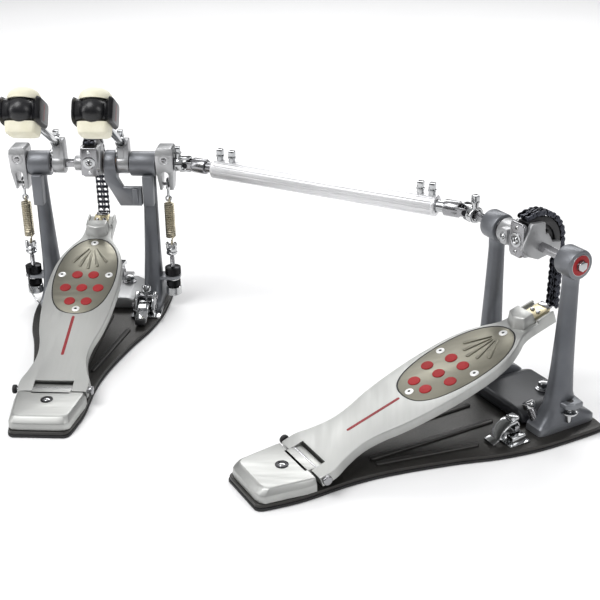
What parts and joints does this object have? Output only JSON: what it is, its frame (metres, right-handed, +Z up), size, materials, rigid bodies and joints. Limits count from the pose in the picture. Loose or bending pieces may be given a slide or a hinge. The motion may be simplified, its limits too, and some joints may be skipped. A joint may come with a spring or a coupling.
{
  "type": "bass drum pedal",
  "caption": "Double bass drum pedal: a main pedal with two beaters, joined by a telescoping drive shaft to a slave pedal for the other foot.",
  "frame": {"origin": "on the floor under the middle of the main pedal's hinge pin, on the flat underside of its base", "axes": "+Z up, +Y from the drummer towards the drum, +X to the right along the main axle, where the slave pedal stands"},
  "size_m": [0.6387, 0.5005, 0.2936],
  "materials": {
    "board_aluminium": "satin, brushed",
    "traction_plate": "satin, warm grey, with raised ridges and red rubber studs",
    "grey_casting": "satin grey, slightly metallic",
    "light_casting": "satin light grey",
    "base_steel": "matt dark grey over a rubber mat",
    "chrome": "polished",
    "spring_steel": "drawn wire, warm grey",
    "chain_steel": "blackened",
    "wheel_plastic": "black",
    "beater_core": "black, satin",
    "beater_felt": "hard pressed felt, cream",
    "brass": "satin",
    "tube_aluminium": "bright anodised, fluted"
  },
  "bodies": {
    "main_frame": {"main_base_plate": "base_steel", "main_heel_plate": "board_aluminium", "main_hinge_pin": "chrome", "main_front_casting": "light_casting", "main_left_post": "grey_casting", "main_right_post": "grey_casting", "main_centre_bracket": "grey_casting", "main_centre_bush": "brass", "clamp_lever_bracket": "chrome", "left_tension_bolt": "chrome", "right_tension_bolt": "chrome"},
    "hoop_clamp": {"hoop_clamp_jaw": "chrome"},
    "hoop_clamp_lever": {"clamp_lever": "chrome"},
    "main_board": {"main_footboard": "board_aluminium", "main_traction_plate": "traction_plate", "main_chain_clamp": "brass"},
    "left_axle": {"main_axle": "chrome", "main_cam_wheel": "wheel_plastic", "main_cam_hub": "light_casting", "main_chain_wrap": "chain_steel", "left_beater_hub": "light_casting", "left_beater_shaft": "chrome", "left_beater_core": "beater_core", "left_beater_felt": "beater_felt", "left_rocker": "light_casting"},
    "main_chain": {"main_chain_run": "chain_steel"},
    "left_swivel": {"left_spring_swivel": "chrome", "left_spring": "spring_steel"},
    "left_hook": {"left_spring_hook": "chrome"},
    "right_axle": {"second_axle": "chrome", "right_beater_hub": "light_casting", "right_beater_shaft": "chrome", "right_beater_core": "beater_core", "right_beater_felt": "beater_felt", "right_rocker": "light_casting", "main_joint_yoke": "chrome"},
    "right_swivel": {"right_spring_swivel": "chrome", "right_spring": "spring_steel"},
    "right_hook": {"right_spring_hook": "chrome"},
    "main_cross": {"main_joint_cross": "chrome"},
    "tube": {"drive_tube": "tube_aluminium", "drive_tube_yoke": "chrome"},
    "rod": {"drive_rod": "chrome", "drive_rod_yoke": "chrome"},
    "slave_frame": {"slave_base_plate": "base_steel", "slave_heel_plate": "board_aluminium", "slave_hinge_pin": "chrome", "slave_front_casting": "grey_casting", "slave_left_post": "grey_casting", "slave_right_post": "grey_casting"},
    "slave_board": {"slave_footboard": "board_aluminium", "slave_traction_plate": "traction_plate", "slave_chain_clamp": "brass"},
    "slave_axle_set": {"slave_axle": "chrome", "slave_cam_wheel": "wheel_plastic", "slave_cam_hub": "light_casting", "slave_chain_wrap": "chain_steel", "slave_joint_yoke": "chrome"},
    "slave_chain": {"slave_chain_run": "chain_steel"},
    "slave_cross": {"slave_joint_cross": "chrome"}
  },
  "joints": [
    {"name": "main_footboard_press", "type": "hinge", "parent": "main_frame", "child": "main_board", "pos_m": [0, 0, 0.0169], "axis": [-1, 0, 0], "range_deg": [0, 6], "stiffness_Nm_per_rad": 30, "springref_deg": -11.46},
    {"name": "left_beater_swing", "type": "hinge", "parent": "main_frame", "child": "left_axle", "pos_m": [0, 0.2479, 0.1763], "axis": [-1, 0, 0], "range_deg": [0, 54.5]},
    {"name": "main_chain_pivot", "type": "hinge", "parent": "left_axle", "child": "main_chain", "pos_m": [0, 0.27552, 0.19037], "axis": [-1, 0, 0], "range_deg": [-59.3, 0.5]},
    {"name": "left_spring_tilt", "type": "hinge", "parent": "main_frame", "child": "left_swivel", "pos_m": [-0.0845, 0.2479, 0.064], "axis": [1, 0, 0], "range_deg": [0, 11.6]},
    {"name": "left_spring_stretch", "type": "slide", "parent": "left_swivel", "child": "left_hook", "axis": [0, 0, 1], "range_m": [0, 0.0122], "deforming": ["left_spring"]},
    {"name": "slave_reach", "type": "slide", "parent": "main_frame", "child": "slave_frame", "axis": [0.9001, -0.4357, 0], "range_m": [-0.008, 0.07]},
    {"name": "slave_footboard_press", "type": "hinge", "parent": "slave_frame", "child": "slave_board", "pos_m": [0.2604, -0.1184, 0.0169], "axis": [-0.5373, 0.8434, 0], "range_deg": [0, 6], "stiffness_Nm_per_rad": 30, "springref_deg": -11.46},
    {"name": "slave_axle_swing", "type": "hinge", "parent": "slave_frame", "child": "slave_axle_set", "pos_m": [0.46948, 0.0148, 0.1763], "axis": [-0.5373, 0.8434, 0], "range_deg": [0, 54.5]},
    {"name": "slave_chain_pivot", "type": "hinge", "parent": "slave_axle_set", "child": "slave_chain", "pos_m": [0.49277, 0.02964, 0.19037], "axis": [-0.5373, 0.8434, 0], "range_deg": [-59.3, 0.5]},
    {"name": "slave_cross_rock", "type": "hinge", "parent": "slave_axle_set", "child": "slave_cross", "pos_m": [0.415, 0.10032, 0.1763], "axis": [0, 0, -1], "range_deg": [0, 12.1]},
    {"name": "drive_tube_turn", "type": "hinge", "parent": "main_frame", "child": "tube", "pos_m": [0.1101, 0.2479, 0.1763], "axis": [-0.9001, 0.4357, 0], "range_deg": [0, 50]},
    {"name": "drive_rod_slide", "type": "slide", "parent": "tube", "child": "rod", "axis": [0.9001, -0.4357, 0], "range_m": [-0.0081, 0.0701]},
    {"name": "right_beater_swing", "type": "hinge", "parent": "main_frame", "child": "right_axle", "pos_m": [0, 0.2479, 0.1763], "axis": [-1, 0, 0], "range_deg": [0, 53]},
    {"name": "main_cross_rock", "type": "hinge", "parent": "right_axle", "child": "main_cross", "pos_m": [0.1101, 0.2479, 0.1763], "axis": [0, 0, 1], "range_deg": [0, 9.8]},
    {"name": "right_spring_tilt", "type": "hinge", "parent": "main_frame", "child": "right_swivel", "pos_m": [0.0845, 0.2479, 0.064], "axis": [1, 0, 0], "range_deg": [0, 11.6]},
    {"name": "right_spring_stretch", "type": "slide", "parent": "right_swivel", "child": "right_hook", "axis": [0, 0, 1], "range_m": [0, 0.0122], "deforming": ["right_spring"]},
    {"name": "clamp_lever_lift", "type": "hinge", "parent": "main_frame", "child": "hoop_clamp_lever", "pos_m": [0.057, 0.2039, 0.016], "axis": [-1, 0, 0], "range_deg": [0, 60]},
    {"name": "hoop_clamp_open", "type": "hinge", "parent": "main_frame", "child": "hoop_clamp", "pos_m": [0, 0.2869, 0.026], "axis": [1, 0, 0], "range_deg": [0, 12.2]}
  ],
  "couplings": [
    {"joint": "left_beater_swing", "follows": "main_footboard_press", "ratio": 9},
    {"joint": "main_chain_pivot", "follows": "main_footboard_press", "ratio": -9.8},
    {"joint": "left_spring_tilt", "follows": "main_footboard_press", "ratio": 1.8667},
    {"joint": "left_spring_stretch", "follows": "main_footboard_press", "m_per_rad": 0.1127},
    {"joint": "slave_axle_swing", "follows": "slave_footboard_press", "ratio": 9},
    {"joint": "slave_chain_pivot", "follows": "slave_footboard_press", "ratio": -9.8},
    {"joint": "slave_cross_rock", "follows": "slave_footboard_press", "ratio": 1.958},
    {"joint": "drive_tube_turn", "follows": "slave_footboard_press", "ratio": 8.25},
    {"joint": "drive_rod_slide", "follows": "slave_reach", "ratio": 1},
    {"joint": "right_beater_swing", "follows": "slave_footboard_press", "ratio": 8.74},
    {"joint": "main_cross_rock", "follows": "slave_footboard_press", "ratio": 1.57},
    {"joint": "right_spring_tilt", "follows": "slave_footboard_press", "ratio": 1.833},
    {"joint": "right_spring_stretch", "follows": "slave_footboard_press", "m_per_rad": 0.107},
    {"joint": "hoop_clamp_open", "follows": "clamp_lever_lift", "ratio": 0.2}
  ]
}
